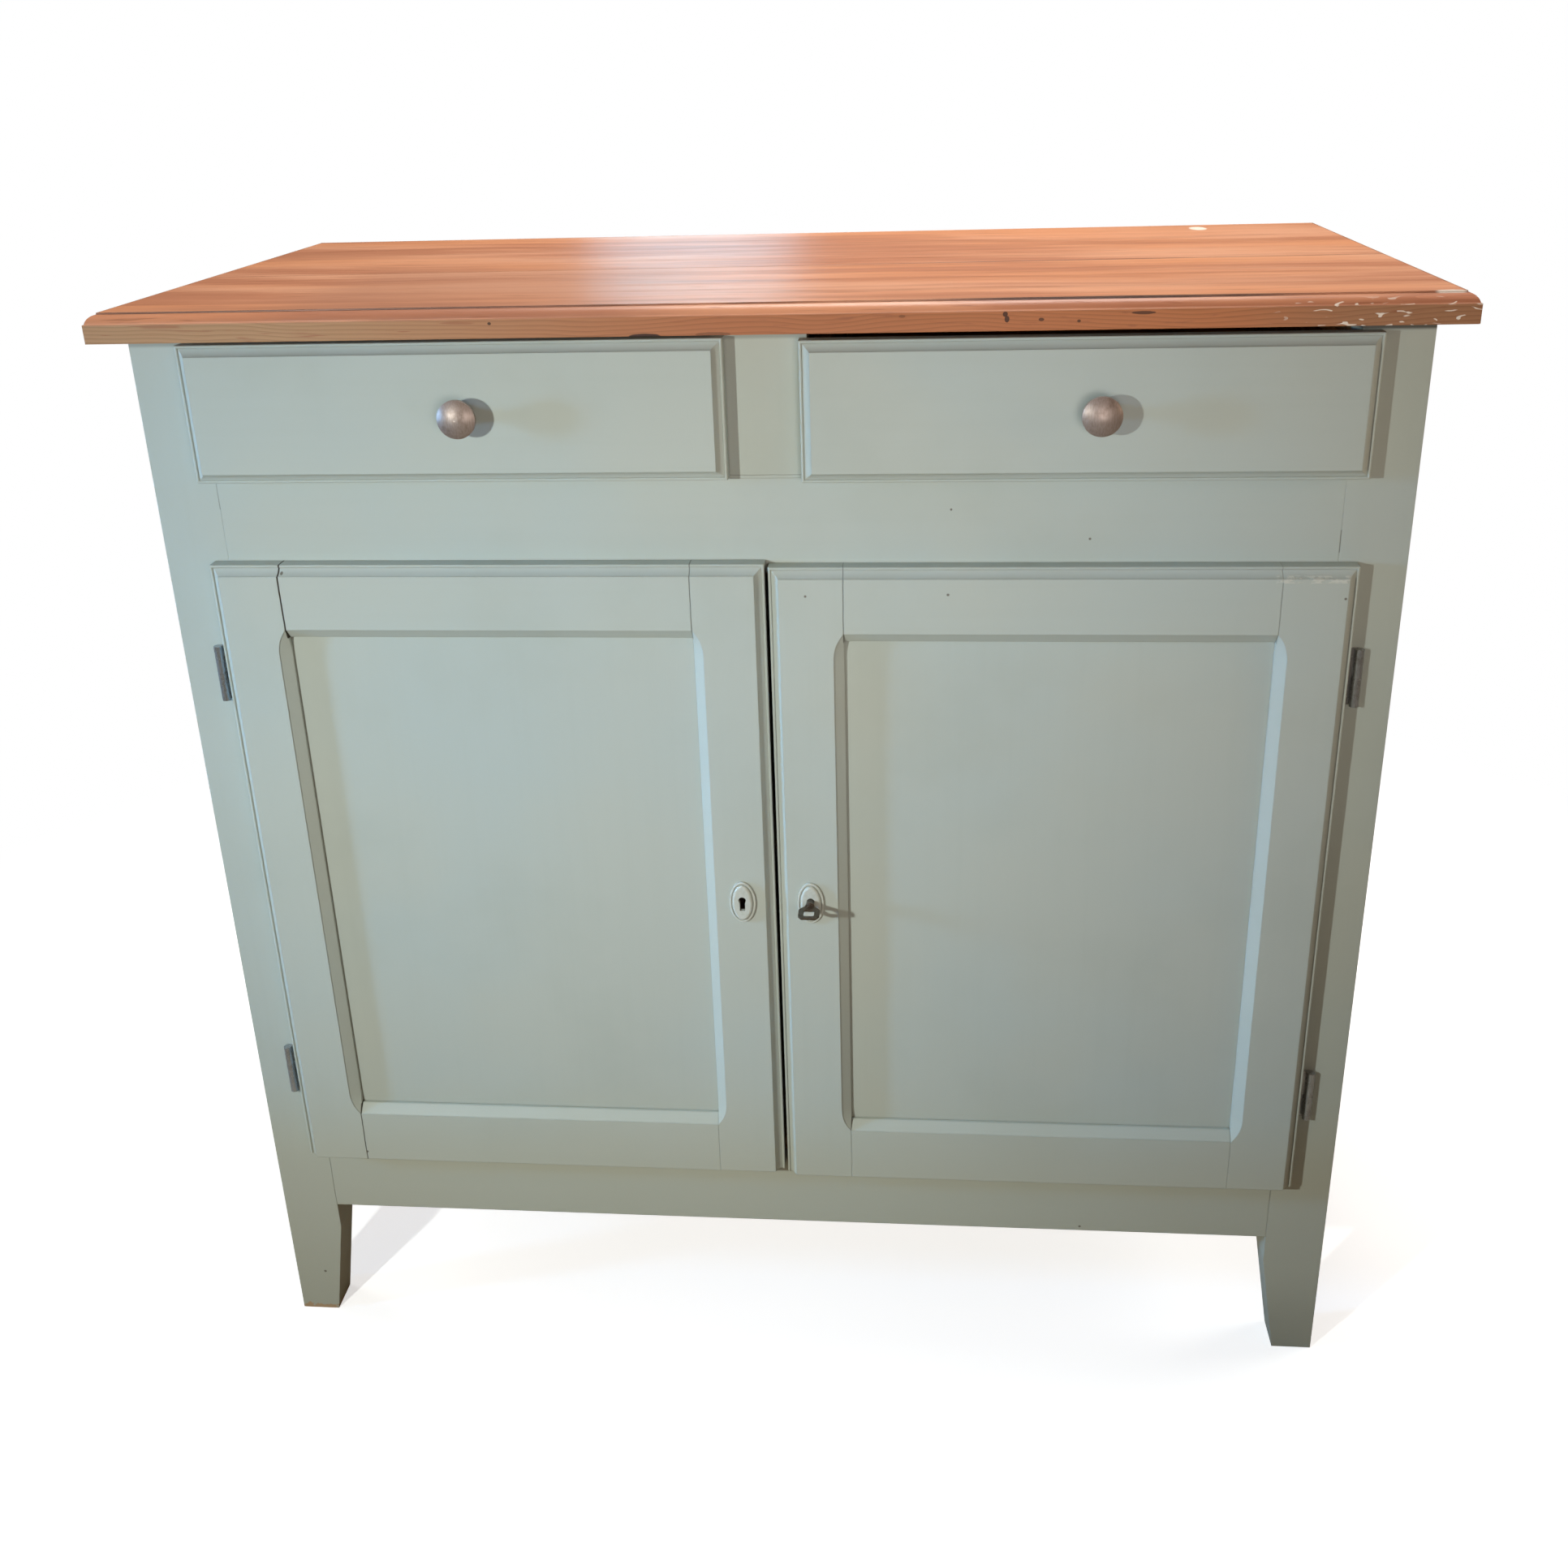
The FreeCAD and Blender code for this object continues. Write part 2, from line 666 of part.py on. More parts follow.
def oval(x, y, z, inset, thickness):
    """An upright oval slab, smaller all round by the inset, y being its back."""
    tip = V(x, y, z + oval_height / 2 - inset)
    flank = V(x + oval_width / 2 - inset, y, z)
    outline = Part.Ellipse(tip, flank, V(x, y, z)).toShape()
    return Part.Face(Part.Wire(outline)).extrude(V(0, -thickness, 0))


def softened(slab, radius):
    """The slab with its front edge rounded."""
    front = [edge for edge in slab.Edges if edge.BoundBox.YMax < slab.BoundBox.YMin + radius]
    return slab.makeFillet(radius, front)


# Oval keyhole plates: a flat band, a groove and a crowned middle; the left one is a blind
left_key_x = left_x[1] - lock_backset
right_key_x = right_x[0] + lock_backset
groove_floor = front_face - oval_thickness + oval_groove_depth
boss_front = groove_floor - oval_boss
for side, x, depth in (("left", left_key_x, dummy_keyhole_depth), ("right", right_key_x, front_thickness)):
    middle = lock_height - keyhole_rise
    plate = softened(oval(x, front_face, middle, 0.0, oval_thickness), oval_soften)
    bed = oval(x, groove_floor, middle, oval_band, oval_groove_depth + overcut)
    boss = softened(oval(x, groove_floor, middle, oval_band + oval_groove_width, oval_boss), oval_crown)
    hole = keyhole(x, (boss_front - overcut, front_face + overcut), lock_height)
    add(side + "_door_escutcheon", plate.cut(bed).fuse(boss).removeSplitter().cut(hole))
    cut(side + "_door_meeting_stile", keyhole(x, (front_face - overcut, front_face + depth), lock_height))

# Rim lock on the back of the right door: case, bolt and the keeper on the left door
back_of_door = -front_clear
case_x = (right_x[0] + lock_edge, right_x[0] + lock_edge + lock_width)
case_y = (back_of_door, back_of_door + lock_depth)
case_z = (lock_height - lock_below, lock_height + lock_above)
ears = block(case_x, (back_of_door, back_of_door + lock_wall), (case_z[0] - lock_ear, case_z[1] + lock_ear))
bolt = ((case_x[0], case_x[0] + bolt_length),
        (back_of_door + bolt_inset, back_of_door + bolt_inset + bolt_thickness),
        (lock_height + bolt_rise, lock_height + bolt_rise + bolt_height))
bolt_slot = grown(bolt, bolt_play)
bolt_slot[0] = (case_x[0] - overcut, case_x[0] + lock_wall + overcut)
add("lock_case",
    block(case_x, case_y, case_z).fuse(ears).removeSplitter()
    .cut([block(*grown((case_x, case_y, case_z), -lock_wall)),
          block(*bolt_slot),
          keyhole(right_key_x, (back_of_door - overcut, back_of_door + lock_wall + overcut), lock_height)]))
add("lock_bolt", block(*bolt))
keeper_x = (left_x[1] - keeper_gap - bolt_throw - keeper_spare, left_x[1] - keeper_gap)
keeper_y = (back_of_door, bolt[1][1] + keeper_wall)
keeper_slot = grown(bolt, keeper_play)
keeper_slot[0] = (keeper_x[0] - overcut, keeper_x[1] + overcut)
add("lock_keeper",
    block(keeper_x, keeper_y, (bolt[2][0] - keeper_ear, bolt[2][1] + keeper_ear)).cut(block(*keeper_slot)))
for z in (case_z[0] - lock_ear / 2, case_z[1] + lock_ear / 2):
    for x in (case_x[0] + lock_ear / 2, case_x[1] - lock_ear / 2):
        drive("right_door_screws", ("lock_case", "right_door_meeting_stile"),
              V(x, back_of_door + lock_wall, z), V(0, -1, 0), lock_screw_length, lock_screw_radius)
for z in (bolt[2][0] - keeper_ear / 2 - keeper_play, bolt[2][1] + keeper_ear / 2 + keeper_play):
    drive("left_door_screws", ("lock_keeper", "left_door_meeting_stile"),
          V(sum(keeper_x) / 2, keeper_y[1], z), V(0, -1, 0), keeper_y[1] + lock_screw_length,
          lock_screw_radius)

# Key standing in the right door, its bow lying flat
bow_front = front_face - key_reach
bow_back = bow_front + bow_length
half_bow = bow_width / 2
outline = [(-key_neck_radius, bow_back), (key_neck_radius, bow_back),
           (half_bow, bow_back - bow_shoulder), (half_bow, bow_front + bow_corner),
           (bow_end_width / 2, bow_front), (-bow_end_width / 2, bow_front),
           (-half_bow, bow_front + bow_corner), (-half_bow, bow_back - bow_shoulder)]
bow_z = lock_height - bow_thickness / 2
bow = prism([V(right_key_x + x, y, bow_z) for x, y in outline], V(0, 0, bow_thickness))
corners = [edge for edge in bow.Edges if edge.BoundBox.ZLength > bow_thickness / 2
           and edge.BoundBox.YMax < bow_back - overcut]
bow = bow.makeFillet(bow_soften, corners)
bow_hole = block((right_key_x - bow_hole_width / 2, right_key_x + bow_hole_width / 2),
                 (bow_front + bow_hole_inset, bow_front + bow_hole_inset + bow_hole_length),
                 (bow_z - overcut, bow_z + bow_thickness + overcut))
corners = [edge for edge in bow_hole.Edges if edge.BoundBox.ZLength > bow_thickness]
bow = bow.cut(bow_hole.makeFillet(bow_soften, corners))
shaft = rod(key_radius, V(right_key_x, bow_back - bow_shoulder / 2, lock_height),
            V(right_key_x, back_of_door + bit_end + overcut, lock_height))
neck_start = boss_front - key_neck_gap
neck = Part.makeCone(key_radius, key_neck_radius, neck_start - bow_back,
                     V(right_key_x, neck_start, lock_height), V(0, -1, 0))
bit_reach = keyhole_slot_length - key_play
bit = block((right_key_x, right_key_x + bit_reach), (back_of_door + bit_start, back_of_door + bit_end),
            (lock_height - bit_thickness / 2, lock_height + bit_thickness / 2))
add("key", bow.fuse([shaft, neck, bit]).removeSplitter())

# Sliding bolt on the back of the left door, shooting up into the middle rail
slide_x = left_x[1] - slide_backset
slide_top = mid_bottom - slide_bolt_gap
plate_y = (back_of_door, back_of_door + slide_plate_thickness)
slide_y = (plate_y[1] + slide_bolt_lift, plate_y[1] + slide_bolt_lift + slide_bolt_thickness)
slide = ((slide_x - slide_bolt_width / 2, slide_x + slide_bolt_width / 2), slide_y,
         (slide_top - slide_bolt_length, slide_top))
grip_z = slide_top - slide_grip_drop
grip = rod(slide_grip_radius, V(slide_x, slide_y[0], grip_z),
           V(slide_x, slide_y[1] + slide_grip_length, grip_z))
add("left_door_bolt", block(*slide).fuse(grip).removeSplitter())
plate_z = (slide_top - slide_plate_drop - slide_plate_length, slide_top - slide_plate_drop)
plate_x = (slide_x - slide_plate_width / 2, slide_x + slide_plate_width / 2)
staples = []
for drop in (slide_staple_high, slide_staple_low):
    staple_x = (slide[0][0] - slide_staple_wall, slide[0][1] + slide_staple_wall)
    staples.append(block(staple_x, (plate_y[0], slide_y[1] + slide_staple_wall),
                         (slide_top - drop - slide_staple, slide_top - drop)))
slide_channel = grown(slide, bolt_play)
slide_channel[2] = plate_z
guide = block(plate_x, plate_y, plate_z).fuse(staples).removeSplitter()
add("left_door_bolt_guide", guide.cut(block(*slide_channel)))
for drop in slide_screw_drops:
    for x in (plate_x[0] + slide_screw_inset, plate_x[1] - slide_screw_inset):
        drive("left_door_screws", ("left_door_bolt_guide", "left_door_meeting_stile", "left_door_top_rail"),
              V(x, plate_y[1], slide_top - drop), V(0, -1, 0), lock_screw_length, lock_screw_radius)
cut("mid_rail",
    block(*grown((slide[0], slide[1], (mid_bottom, mid_bottom + slide_bolt_throw)), slide_mortise_play)))


def make_knob(x, z):
    """A mushroom knob turned about the axis that stands on the drawer front at x, z."""
    def at(radius, out):
        return V(x + radius, front_face - out, z)

    rise = knob_length - knob_rim_end
    crown_radius = (knob_radius ** 2 + rise ** 2) / (2 * rise)
    half_way = (crown_radius ** 2 - (knob_radius / 2) ** 2) ** 0.5
    crown_middle = (knob_radius / 2, knob_length - crown_radius + half_way)
    neck_middle = ((knob_base_radius + knob_neck_radius) / 2 - knob_neck_hollow,
                   (knob_base_thickness + knob_neck_start) / 2)
    cheek_middle = ((knob_neck_radius + knob_radius) / 2, knob_rim_start - knob_cheek)
    section = [line(at(0, 0), at(knob_base_radius, 0)),
               line(at(knob_base_radius, 0), at(knob_base_radius, knob_base_thickness)),
               arc(at(knob_base_radius, knob_base_thickness), at(*neck_middle),
                   at(knob_neck_radius, knob_neck_start)),
               line(at(knob_neck_radius, knob_neck_start), at(knob_neck_radius, knob_neck_end)),
               arc(at(knob_neck_radius, knob_neck_end), at(*cheek_middle), at(knob_radius, knob_rim_start)),
               line(at(knob_radius, knob_rim_start), at(knob_radius, knob_rim_end)),
               arc(at(knob_radius, knob_rim_end), at(*crown_middle), at(0, knob_length)),
               line(at(0, knob_length), at(0, 0))]
    return Part.Face(Part.Wire(section)).revolve(V(x, 0, z), V(0, 1, 0), 360)


def make_drawer(drawer, x, shift, rise):
    """One lipped drawer for the opening x, its front moved by shift and rise from the opening's middle."""
    middle_z = (mid_top + under_top) / 2 + rise
    front_x = (x[0] - drawer_lap + shift, x[1] + drawer_lap + shift)
    front_z = (middle_z - front_height / 2, middle_z + front_height / 2)
    slab = moulded_slab(front_x, front_z, front_thickness, lip_width, lip_profile,
                        ("u0", "u1", "v0", "v1"), on_front)
    outer = (x[0] + drawer_side_play, x[1] - drawer_side_play)
    inner = (outer[0] + drawer_side_thickness, outer[1] - drawer_side_thickness)
    z = (mid_top + drawer_lift, mid_top + drawer_lift + drawer_side_height)
    side_y = (back_of_door, drawer_depth)
    bottom_z = (z[0] + drawer_bottom_rise, z[0] + drawer_bottom_rise + drawer_bottom_thickness)
    bottom = ((inner[0] - drawer_bottom_groove, inner[1] + drawer_bottom_groove),
              (drawer_tongue - drawer_bottom_groove, drawer_depth), bottom_z)
    groove = block(*grown(bottom, groove_play))
    tongue = block(inner, (front_face + front_thickness / 2, drawer_tongue), z)
    add(drawer + "_front", slab.fuse(tongue).removeSplitter().cut(groove))
    add(drawer + "_sides", *[block(span(outer[i], inner[i]), side_y, z).cut(groove) for i in (0, 1)])
    bottom_x = grown(bottom[:1], -panel_play)[0]
    add(drawer + "_bottom", block(bottom_x, (bottom[1][0] + panel_play, drawer_depth), bottom_z))
    add(drawer + "_back",
        block(inner, (drawer_depth - drawer_side_thickness, drawer_depth),
              (bottom_z[1], z[1] - drawer_back_drop)))
    knob_x = sum(front_x) / 2 + knob_offset
    head = V(knob_x, drawer_tongue, middle_z)
    tip = V(knob_x, front_face - knob_screw_bite, middle_z)
    hole = rod(knob_screw_radius + screw_play, head + V(0, overcut, 0), tip - V(0, screw_play, 0))
    add(drawer + "_knob", make_knob(knob_x, middle_z).cut(hole))
    cut(drawer + "_front", hole)
    pan = rod(knob_screw_head_radius, head, head + V(0, knob_screw_head, 0))
    add(drawer + "_knob_screw", rod(knob_screw_radius, head, tip).fuse(pan).removeSplitter())


make_drawer("left_drawer", (-post_inner, muntin_x[0]), 0.0, left_front_rise)
make_drawer("right_drawer", (muntin_x[1], post_inner), right_front_shift, right_front_rise)

for group, solids in screws.items():
    add(group, *solids)
os.makedirs("parts", exist_ok=True)
for name, shape in parts.items():
    shape.translated(V(0, face_y, 0)).exportStep("parts/" + name + ".step")
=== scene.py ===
import json
import math

import bpy
from mathutils import Matrix, Vector


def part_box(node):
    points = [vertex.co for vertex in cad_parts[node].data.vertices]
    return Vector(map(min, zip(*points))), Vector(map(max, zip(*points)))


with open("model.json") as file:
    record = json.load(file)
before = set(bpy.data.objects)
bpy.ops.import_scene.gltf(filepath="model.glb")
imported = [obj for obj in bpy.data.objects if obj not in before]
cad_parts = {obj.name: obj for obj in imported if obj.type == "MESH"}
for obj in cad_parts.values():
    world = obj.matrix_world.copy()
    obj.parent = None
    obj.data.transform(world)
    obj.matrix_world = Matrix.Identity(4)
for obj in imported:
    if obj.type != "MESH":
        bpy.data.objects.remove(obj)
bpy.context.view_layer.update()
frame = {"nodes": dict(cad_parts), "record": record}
nodes = frame["nodes"]

# Places that the finishes follow, in metres, read from the CAD nodes
LOW, HIGH = 0, 1
FACE_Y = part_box("front_post_left")[LOW][1]
TOP_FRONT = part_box("top_board_front")[LOW][1]
TOP_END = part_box("top_board_front")[HIGH][0]
TOP_UNDER, TOP_Z = (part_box("top_board_front")[side][2] for side in (LOW, HIGH))
JOINT_LEFT, JOINT_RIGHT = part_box("top_board_back")[LOW][1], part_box("top_board_front")[HIGH][1]

# Sizes of the top's moulding and of the back boards, in metres, and how many boards there are
QUIRK_INSET = 0.0095
MOULDING_DROP = 0.009
BACK_BOARDS = 5
BACK_LAP = 0.007

# Colours as they show on a screen
SAGE = (180, 189, 182)
SAGE_COOL = (176, 189, 186)
SAGE_SHADE = (166, 176, 168)
# Painted warm light from the floor, low on the paint
SAGE_WARM_FLOOR_LIGHT = (180, 182, 165)
# Painted shade and grime in the crevices of the paint
CREVICE_SHADE_AND_GRIME = (116, 100, 80)
UNDERCOAT = (206, 211, 203)
# Dark dirt in open joints, also used for the painted shadow under the top
JOINT_DIRT_AND_SHADOW = (62, 58, 50)
NAIL_RUST = (92, 84, 72)
OLD_WOOD = (186, 160, 128)
# Painted shade in the door gap and behind the keyhole plates
KEYHOLE_AND_GAP_SHADE = (46, 34, 26)
WAX_LIGHT = (229, 170, 136)
WAX_ORANGE = (226, 156, 113)
WAX_MID = (194, 129, 98)
# Painted reflection of something dark in the wax
WAX_DARK_REFLECTION = (170, 124, 104)
WAX_DARK = (150, 92, 64)
# Dark dirt of knots and the plank joint, also the painted shade in the quirk
WAX_DIRT_AND_SHADE = (58, 32, 22)
WAX_LINE = (100, 60, 40)
EDGE_LEFT = (178, 140, 102)
EDGE_MIDDLE = (177, 112, 72)
EDGE_RIGHT = (188, 118, 73)
EDGE_WORN = (168, 120, 84)
SPILT_PAINT = (250, 240, 226)
ROOM_SHADE = (255, 198, 156)
BARE_PALE = (214, 184, 142)
BARE_DEEP = (193, 156, 112)
BARE_RING = (160, 116, 74)
BARE_DUST = (138, 110, 82)
BARE_PORE = (112, 82, 56)
BARE_EDGE = (222, 198, 162)
PLATE_PAINT = (194, 201, 194)
PLATE_THICK = (184, 191, 183)
# Thin paint and a painted highlight on the rim of a keyhole plate
PLATE_RIM_WEAR_AND_HIGHLIGHT = (214, 221, 215)
WHITE = (255, 255, 255)
BLACK = (0, 0, 0)
FLOOR_PALE = (245, 245, 245)
FLOOR_NEAR = (205, 205, 205)

# Radius of rounded edges and depth of the fine relief on each kind of surface, in metres
PAINT_ROUND, PAINT_RELIEF = 0.0012, 0.00006
WAX_ROUND, WAX_RELIEF = 0.0010, 0.00012
BARE_ROUND, BARE_RELIEF = 0.0010, 0.00022
PLATE_ROUND, PLATE_RELIEF = 0.0008, 0.00018
METAL_ROUND, METAL_RELIEF = 0.0005, 0.00003

# Rays for rounded edges and for how shut in a place is, and how far the latter reach, in metres
ROUND_RAYS, SHUT_RAYS = 3, 6
CREVICE_REACH, GAP_REACH = 0.004, 0.012

# Year rings per metre, and the heart line that those of bare wood go round
WAX_RINGS, BARE_RINGS = 60.0, 150.0
BARE_HEART = (0.1, -0.1)

# Half sizes of the painted shade behind a keyhole plate, in metres
KEYHOLE_SHADE_HALF = (0.008, 0.015)

# Light from all round the room as a share of white, and what glossy surfaces see besides
ROOM_LIGHT = 0.085
MIRRORED_LIGHT = 0.14

# The camera: its place before the front's face, its turns in degrees, and its lens
CAMERA_X, CAMERA_AWAY, CAMERA_Z = 0.13898, 1.308, 1.284
CAMERA_TURN, CAMERA_TILT, CAMERA_ROLL = 5.365, -21.696, 1.725
CAMERA_SENSOR, CAMERA_LENS = 36.0, 35.697
CAMERA_SHIFT_X, CAMERA_SHIFT_Y = -0.00274, -0.0673
CAMERA_NEAR = 0.05

# The floor: half its width, the light it bounces, and the squared distances over which shadow fades
FLOOR_REACH = 8.0
FLOOR_BOUNCE = (0.40, 0.33, 0.25, 1.0)
SHADOW_KEPT, SHADOW_GONE = 0.6, 3.0


class Value:
    """One value in a node tree: arithmetic adds Math nodes, and node() adds any other kind."""

    def __init__(self, tree, socket):
        self.tree = tree
        self.socket = socket

    def node(self, kind, settings, *values, out=0):
        """Adds a node: settings first, then values or links for its enabled sockets in order."""
        made = self.tree.nodes.new(kind)
        for key, value in settings.items():
            setattr(made, key, value)
        for socket, value in zip([s for s in made.inputs if s.enabled], values):
            if isinstance(value, Value):
                self.tree.links.new(value.socket, socket)
            elif value is not None:
                socket.default_value = value
        return Value(self.tree, [s for s in made.outputs if s.enabled][out])

    def math(self, operation, *values):
        return self.node("ShaderNodeMath", {"operation": operation}, *values)

    def __add__(self, other):
        return self.math("ADD", self, other)

    def __sub__(self, other):
        return self.math("SUBTRACT", self, other)

    def __rsub__(self, other):
        return self.math("SUBTRACT", other, self)

    def __mul__(self, other):
        return self.math("MULTIPLY", self, other)

    def __truediv__(self, other):
        return self.math("DIVIDE", self, other)

    def __pow__(self, other):
        return self.math("POWER", self, other)

    def __abs__(self):
        return self.math("ABSOLUTE", self)

    __radd__ = __add__
    __rmul__ = __mul__

    def most(self, other):
        return self.math("MAXIMUM", self, other)

    def least(self, other):
        return self.math("MINIMUM", self, other)

    def fraction(self):
        return self.math("FRACT", self)

    def floor(self):
        return self.math("FLOOR", self)

    def rise(self, low, high):
        """0 at low, 1 at high, smooth between; low may be the larger one for a fall."""
        if low > high:
            return 1 - self.rise(high, low)
        return self.node("ShaderNodeMapRange", {"interpolation_type": "SMOOTHSTEP"},
                         self, low, high, 0.0, 1.0)

    def line(self, place, half_width, soft):
        """1 within half_width of a place, falling to 0 over the soft width outside it."""
        return abs(self - place).rise(half_width + soft, half_width)

    def within(self, low, high, soft):
        """1 between two places, falling to 0 over the soft width outside them."""
        return self.rise(low - soft, low) * self.rise(high + soft, high)

    def stretch(self, scale):
        return self.node("ShaderNodeVectorMath", {"operation": "MULTIPLY"}, self, scale)

    def shift(self, offset):
        return self.node("ShaderNodeVectorMath", {"operation": "ADD"}, self, offset)

    def split(self):
        """A vector's x, y and z."""
        return [self.node("ShaderNodeSeparateXYZ", {}, self, out=i) for i in range(3)]

    def noise(self, scale, detail=3.0, rough=0.55):
        return self.node("ShaderNodeTexNoise", {}, self, scale, detail, rough, 2.0, 0.0)

    def over(self, below, above):
        """Mixes two colours, this value being how much of the upper one shows."""
        return self.node("ShaderNodeMix", {"data_type": "RGBA", "clamp_factor": True}, self,
                         colour(below), colour(above))


def colour(written):
    """A colour from 0 to 255 turned to linear light; a colour from a node stays as it is."""
    if isinstance(written, Value):
        return written
    parts = [v / 255 for v in written]
    return [v / 12.92 if v <= 0.04045 else ((v + 0.055) / 1.055) ** 2.4 for v in parts] + [1.0]


def new_finish(name, **constants):
    """A material with its Principled shader, and the place as a vector and as x, y and z."""
    finish = bpy.data.materials.new(name)
    finish.use_nodes = True
    shader = finish.node_tree.nodes["Principled BSDF"]
    for socket, value in constants.items():
        shader.inputs[socket.replace("_", " ")].default_value = value
    place = Value(finish.node_tree, None).node("ShaderNodeTexCoord", {}, out=3)
    return finish, shader, place, place.split()


def rounded_edges(place, radius):
    """The normal over edges of some radius, and how near an edge is: 0 on a flat, 1 on it."""
    rounded = place.node("ShaderNodeBevel", {"samples": ROUND_RAYS}, radius)
    true_normal = place.node("ShaderNodeNewGeometry", {}, out=1)
    aligned = place.node("ShaderNodeVectorMath", {"operation": "DOT_PRODUCT"}, rounded, true_normal)
    return rounded, aligned.rise(0.99, 0.78)


def open_air(place, reach):
    """How open a place is within a reach: 1 in the open, 0 where it is shut in."""
    return place.node("ShaderNodeAmbientOcclusion", {"samples": SHUT_RAYS}, None, reach, out=1)


def connect(shader, base, rough, height, depth, normal):
    """Links colour, roughness and a bump of some depth in metres that lies over a given normal."""
    links = base.tree.links
    links.new(base.socket, shader.inputs["Base Color"])
    links.new(rough.socket, shader.inputs["Roughness"])
    bumped = base.node("ShaderNodeBump", {}, 1.0, depth, None, height, normal)
    links.new(bumped.socket, shader.inputs["Normal"])


def long_scale(along, fine, coarse):
    """Texture scales that draw a pattern out along one axis."""
    return [coarse if axis == along else fine for axis in "xyz"]


def spot(x, z, at, half_width, half_height):
    """A soft-edged oval on the front, 1 in its middle."""
    away = ((x - at[0]) / half_width) ** 2.0 + ((z - at[1]) / half_height) ** 2.0
    return away.rise(1.3, 0.5)


def sage(name, along, joints=(), nails=(), lumps=None, scuffed=False, keyhole=None):
    """Brushed satin paint, strokes along one axis, thin on the edges, with the marks given and
    painted shade and warm light.
    """
    finish, shader, place, (x, y, z) = new_finish(name, Specular_IOR_Level=0.18)
    strokes = place.stretch(long_scale(along, 95.0, 3.0)).noise(1.0, 3.0, 0.6)
    drift = place.noise(2.6, 3.0, 0.55)
    peel = place.noise(380.0, 1.0, 0.5)
    patchy = place.noise(45.0, 2.0)
    rounded, edge = rounded_edges(place, PAINT_ROUND)
    base = drift.rise(0.35, 0.65).over(SAGE, SAGE_COOL)
    base = (place.noise(7.0, 4.0).rise(0.45, 0.75) * 0.3).over(base, SAGE_SHADE)
    base = (strokes.rise(0.42, 0.78) * 0.08).over(base, SAGE_SHADE)
    # Painted light: the paint turns warmer towards the floor, standing in for warm light bounced
    # from it
    base = (z.rise(0.34, 0.20) * 0.7).over(base, SAGE_WARM_FLOOR_LIGHT)
    base = (edge * patchy.rise(0.4, 0.7) * 0.4).over(base, UNDERCOAT)
    # Painted shade with a grime tint: the paint darkens wherever occlusion shows a crevice or
    # corner
    base = (open_air(place, CREVICE_REACH).rise(0.70, 0.30) * 0.35).over(base, CREVICE_SHADE_AND_GRIME)
    height = strokes * 0.6 + peel * 0.4
    wander = (patchy - 0.5) * 0.0016
    closed = drift.rise(0.66, 0.5)
    for direction, at, low, high, half_width, depth in joints:
        across, length = (x, z) if direction == "up" else (z, x)
        crack = (across + wander).line(at, half_width, 0.0005) * length.within(low, high, 0.001)
        crack = crack * closed * depth
        base = crack.over(base, JOINT_DIRT_AND_SHADOW)
        height = height - crack * 2.0
    for at, size in nails:
        dent = spot(x, z, at, size, size)
        base = (dent * 0.8).over(base, NAIL_RUST)
        height = height - dent
    if lumps:
        heap = place.stretch((140.0, 140.0, 260.0)).noise(1.0, 2.0).rise(0.44, 0.58)
        heap = heap * x.within(*lumps[0], 0.004) * z.within(*lumps[1], 0.0012)
        base = (heap * 0.7).over(base, UNDERCOAT)
        height = height + heap * 5.0
    if keyhole:
        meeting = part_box(keyhole.replace("escutcheon", "meeting_stile"))
        face, inner = meeting[LOW][1], min((meeting[side][0] for side in (LOW, HIGH)), key=abs)
        # Painted shade: the meeting edge turns dark where the shut doors leave only a narrow gap
        shut = open_air(place, GAP_REACH).rise(0.45, 0.20)
        gap = abs(x - inner).rise(0.0008, 0.0003) * y.rise(face + 0.002, face + 0.006)
        base = (gap * shut).over(base, KEYHOLE_AND_GAP_SHADE)
        # Painted shade: a dark oval on the stile behind the keyhole plate stands for the dark
        # inside the hole
        low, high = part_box(keyhole)
        middle = [(low[axis] + high[axis]) / 2 for axis in (0, 2)]
        before_back = y.rise(meeting[HIGH][1], meeting[HIGH][1] - 0.002)
        base = (spot(x, z, middle, *KEYHOLE_SHADE_HALF) * before_back).over(base, KEYHOLE_AND_GAP_SHADE)
    if scuffed:
        chipped = (z.rise(0.022, 0.0) + place.noise(90.0, 3.0, 0.6)).rise(1.36, 1.44)
        chipped = chipped * x.rise(-0.45, -0.50)
        base = chipped.over(base, OLD_WOOD)
        height = height - chipped
        # Darker towards the floor, in large patches
        darker_near_floor = z.rise(0.11, 0.0) * drift.rise(0.35, 0.75)
        base = (darker_near_floor * 0.3).over(base, NAIL_RUST)
        # Painted shadow under the overhang of the top, stronger towards the right
        shadow_under_top = z.rise(TOP_UNDER - 0.0085, TOP_UNDER - 0.0055)
        shadow_under_top = shadow_under_top * (0.35 + x.rise(0.40, 0.50) * 0.5)
        base = shadow_under_top.over(base, JOINT_DIRT_AND_SHADOW)
    rough = 0.36 + strokes * 0.10 + drift * 0.06 - edge * 0.05
    connect(shader, base, rough, height, PAINT_RELIEF, rounded)
    return finish


def grain(place, along, heart, seed, rings_per_metre):
    """Wood figure from three parts: long streaks, year rings round a heart line, and fine pores."""
    moved = place.shift([seed, seed * 0.7, seed * 1.3])
    streaks = moved.stretch(long_scale(along, 55.0, 1.6)).noise(1.0, 5.0, 0.6)
    wander = moved.stretch(long_scale(along, 7.0, 1.1)).noise(1.0, 3.0, 0.5)
    first, second = [value for value, axis in zip(place.split(), "xyz") if axis != along]
    away = ((first - heart[0]) ** 2.0 + (second - heart[1]) ** 2.0) ** 0.5
    rings = ((away + wander * 0.05) * rings_per_metre).fraction() ** 2.0
    pores = moved.stretch(long_scale(along, 850.0, 22.0)).noise(1.0, 2.0, 0.5).rise(0.60, 0.74)
    return streaks, rings, pores


